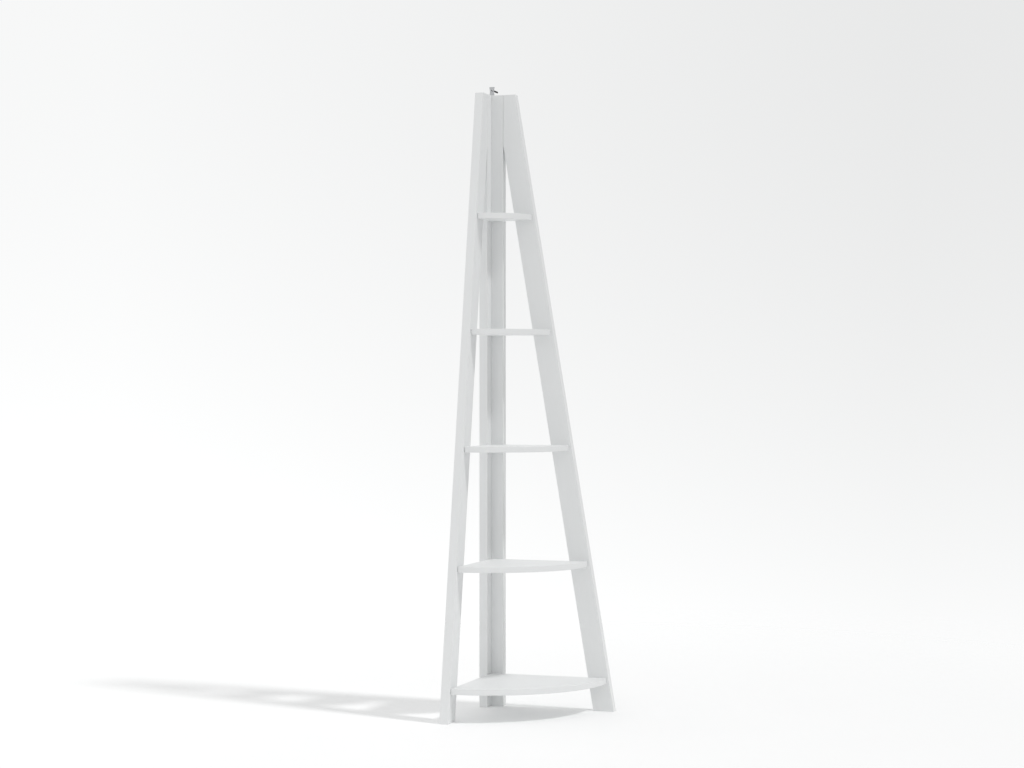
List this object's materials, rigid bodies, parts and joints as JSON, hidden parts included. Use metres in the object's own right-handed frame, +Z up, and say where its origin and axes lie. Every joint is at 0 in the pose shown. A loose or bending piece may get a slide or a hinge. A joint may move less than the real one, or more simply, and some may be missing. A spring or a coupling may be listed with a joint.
{
  "type": "corner ladder shelf",
  "caption": "Tall white corner shelf: two ladder frames meet at a right angle and carry quarter-round shelves that grow towards the floor, with a steel wall bracket on top.",
  "frame": {"origin": "centre of the bounding box, on the floor", "axes": "+Z up; the room corner is at low X and high Y, so the left-hand wall is the low-X side, the right-hand wall is the high-Y side and the open front faces +X and -Y"},
  "size_m": [0.4, 0.4562, 1.8283],
  "materials": {
    "white_paint": "satin white paint on board, edges eased",
    "zinc_steel": "bright zinc plate",
    "dark_steel": "dark phosphated steel",
    "beech": "plain beech, fluted"
  },
  "bodies": {
    "root": {"right_post_board": "white_paint", "left_post_board": "white_paint", "left_leg": "white_paint", "right_leg": "white_paint", "shelf_1": "white_paint", "shelf_2": "white_paint", "shelf_3": "white_paint", "shelf_4": "white_paint", "shelf_5": "white_paint", "shelf_1_screw_left_leg": "zinc_steel", "shelf_1_screw_left_post": "zinc_steel", "shelf_1_screw_right_leg": "zinc_steel", "shelf_1_screw_right_post": "zinc_steel", "shelf_2_screw_left_leg": "zinc_steel", "shelf_2_screw_left_post": "zinc_steel", "shelf_2_screw_right_leg": "zinc_steel", "shelf_2_screw_right_post": "zinc_steel", "shelf_3_screw_left_leg": "zinc_steel", "shelf_3_screw_left_post": "zinc_steel", "shelf_3_screw_right_leg": "zinc_steel", "shelf_3_screw_right_post": "zinc_steel", "shelf_4_screw_left_leg": "zinc_steel", "shelf_4_screw_left_post": "zinc_steel", "shelf_4_screw_right_leg": "zinc_steel", "shelf_4_screw_right_post": "zinc_steel", "shelf_5_screw_left_leg": "zinc_steel", "shelf_5_screw_left_post": "zinc_steel", "shelf_5_screw_right_leg": "zinc_steel", "shelf_5_screw_right_post": "zinc_steel", "post_screw_1": "zinc_steel", "post_screw_2": "zinc_steel", "post_screw_3": "zinc_steel", "post_screw_4": "zinc_steel", "post_screw_5": "zinc_steel", "bracket_screw": "zinc_steel", "wall_bracket": "zinc_steel", "left_leg_dowel_1": "beech", "left_leg_dowel_2": "beech", "right_leg_dowel_1": "beech", "right_leg_dowel_2": "beech", "wall_screw": "dark_steel"}
  },
  "joints": []
}
